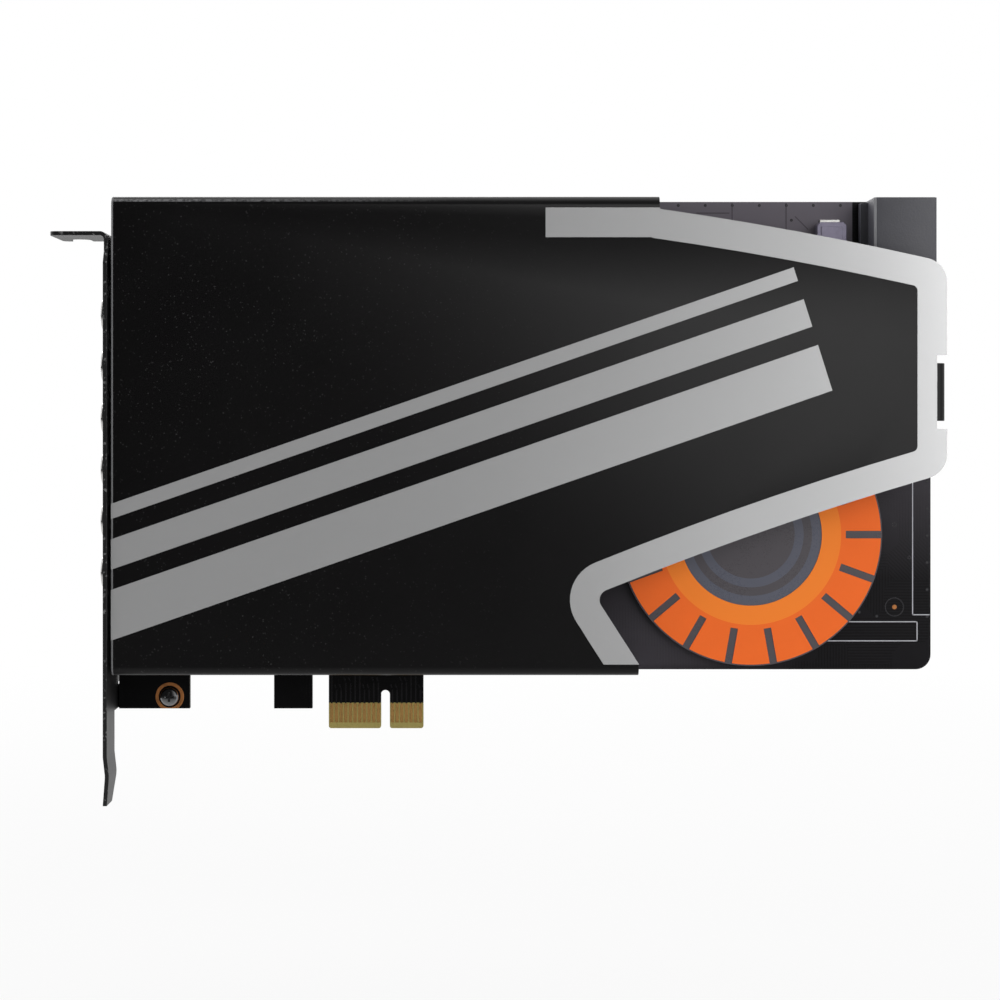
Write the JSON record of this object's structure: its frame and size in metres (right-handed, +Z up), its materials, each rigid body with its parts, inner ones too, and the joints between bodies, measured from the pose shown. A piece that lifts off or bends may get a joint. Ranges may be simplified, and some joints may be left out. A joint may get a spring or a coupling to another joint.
{
  "type": "sound card",
  "caption": "Plug-in sound card with a black folded shield cover, silver print, slot bracket with jacks, gold edge tongue, power header and an orange ring",
  "frame": {"origin": "middle of the slot key at the foot of the edge tongue, half way through the board", "axes": "+X along the board away from the bracket, +Z up away from the slot, +Y from the component side to the solder side"},
  "size_m": [0.1877, 0.0184, 0.1273],
  "materials": {
    "board_mask": "satin black solder mask",
    "gold_contact": "thin bright gold plating",
    "bare_copper": "bare copper with a thin tarnish",
    "bracket_black": "satin black plating on sheet steel",
    "screw_black": "black zinc plating",
    "cover_black": "fine-grained satin black paint",
    "print_silver": "silver screen print",
    "post_steel": "bright nickel plating",
    "screw_steel": "bright zinc plating",
    "smoked_plastic": "smoked satin plastic",
    "orange_print": "bright orange translucent print",
    "hub_grey": "grey print",
    "lamp_white": "clear resin over white",
    "header_grey": "dark grey moulded plastic",
    "tin_plate": "tin plating",
    "inductor_shell": "matt silver shell",
    "jack_black": "moulded black plastic",
    "sleeve_nickel": "bright nickel plating",
    "film_box": "red moulded box",
    "coupling_box": "grey-blue moulded box",
    "socket_black": "moulded black plastic",
    "chip_black": "moulded black resin",
    "can_sleeve": "shrunk film sleeve",
    "relay_case": "off-white moulded case",
    "crystal_can": "drawn nickel can",
    "ceramic_tan": "fired ceramic",
    "resistor_black": "glazed resistor film"
  },
  "bodies": {
    "root": {"circuit_board": "board_mask", "edge_contacts": "gold_contact", "bracket": "bracket_black", "bracket_screws": "screw_black", "shield_cover": "cover_black", "cover_print": "print_silver", "cover_standoffs": "post_steel", "cover_screws": "screw_steel", "light_disc": "smoked_plastic", "orange_ring": "orange_print", "ring_leds": "lamp_white", "power_header": "header_grey", "power_pins": "tin_plate", "filter_inductor": "inductor_shell", "inductor_terminals": "tin_plate", "jack_terminals": "tin_plate", "film_capacitors": "film_box", "output_capacitors": "can_sleeve", "coupling_capacitors": "coupling_box", "relay_1": "relay_case", "relay_2": "relay_case", "output_converter": "chip_black", "input_converter": "chip_black", "headphone_amplifier": "chip_black", "audio_processor": "chip_black", "bridge_chip": "chip_black", "amplifier_leads": "tin_plate", "crystal_1": "crystal_can", "crystal_2": "crystal_can", "supply_capacitors": "can_sleeve", "regulators": "chip_black", "regulator_tabs": "tin_plate", "ceramic_capacitors": "ceramic_tan", "chip_resistors": "resistor_black", "audio_jack_1": "jack_black", "audio_jack_2": "jack_black", "audio_jack_3": "jack_black", "audio_jack_4": "jack_black", "audio_jack_5": "jack_black", "audio_jack_6": "jack_black", "op_amp_socket_1": "socket_black", "op_amp_1": "chip_black", "op_amp_socket_2": "socket_black", "op_amp_2": "chip_black", "op_amp_socket_3": "socket_black", "op_amp_3": "chip_black", "op_amp_socket_4": "socket_black", "op_amp_4": "chip_black"}
  },
  "joints": []
}
